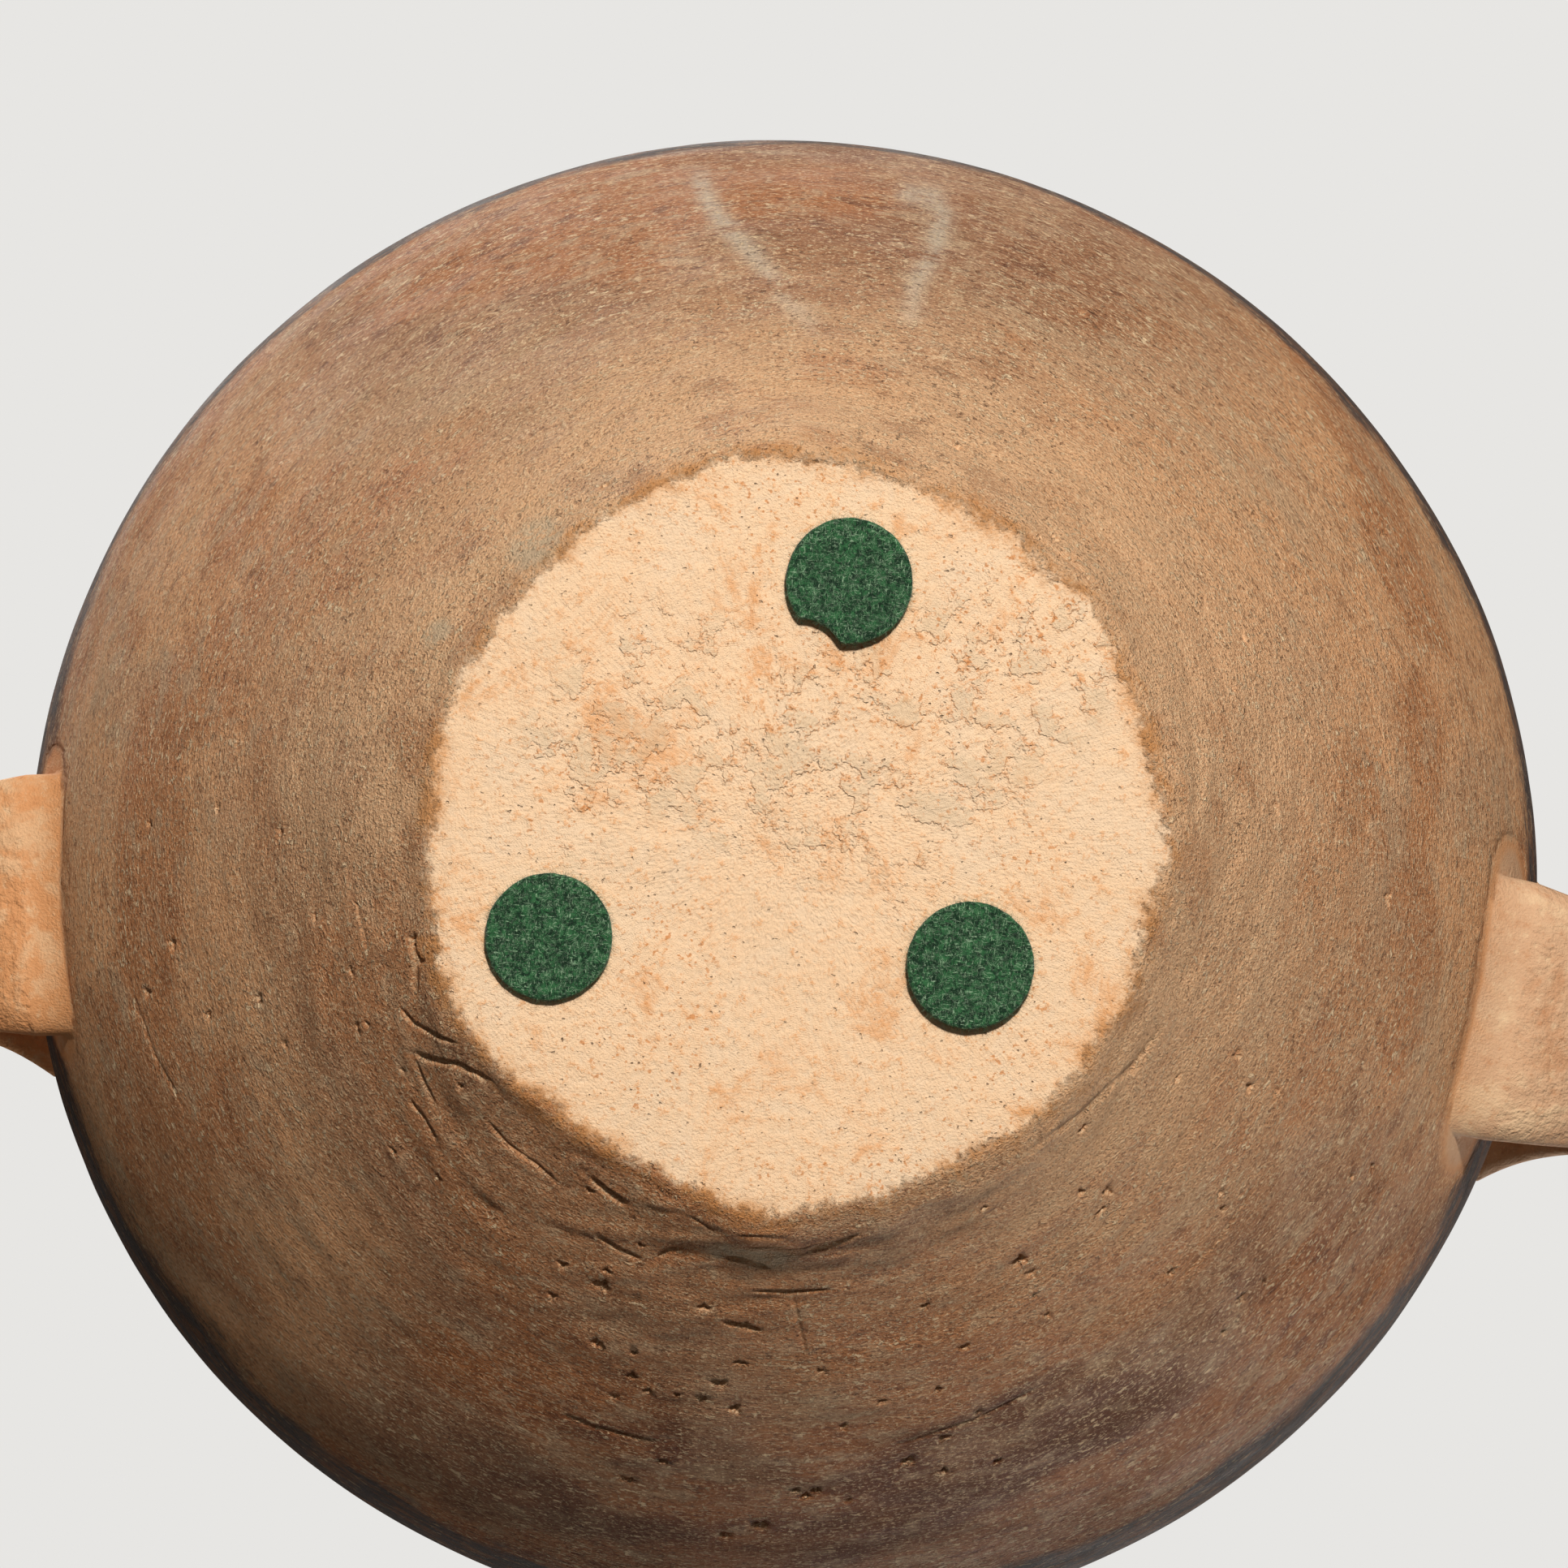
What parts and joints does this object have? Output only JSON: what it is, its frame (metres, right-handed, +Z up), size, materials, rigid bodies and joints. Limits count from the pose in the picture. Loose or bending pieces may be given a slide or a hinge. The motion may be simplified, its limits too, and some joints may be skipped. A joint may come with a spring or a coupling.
{
  "type": "painted pottery jar",
  "caption": "Round-bellied hollow earthenware jar with a narrow flat foot, two strap handles and a flared neck, painted on its upper half, standing on felt pads.",
  "frame": {"origin": "On the surface that the jar stands on (the undersides of its felt pads), midway across the whole object", "axes": "+Z up along the jar's axis; +X to the right-hand handle seen from the front; -Y is the front"},
  "size_m": [0.4043, 0.3408, 0.3409],
  "materials": {
    "clay": "matte",
    "felt": "matte"
  },
  "bodies": {
    "root": {"jar": "clay", "felt_pad_1": "felt", "felt_pad_2": "felt", "felt_pad_3": "felt"}
  },
  "joints": []
}
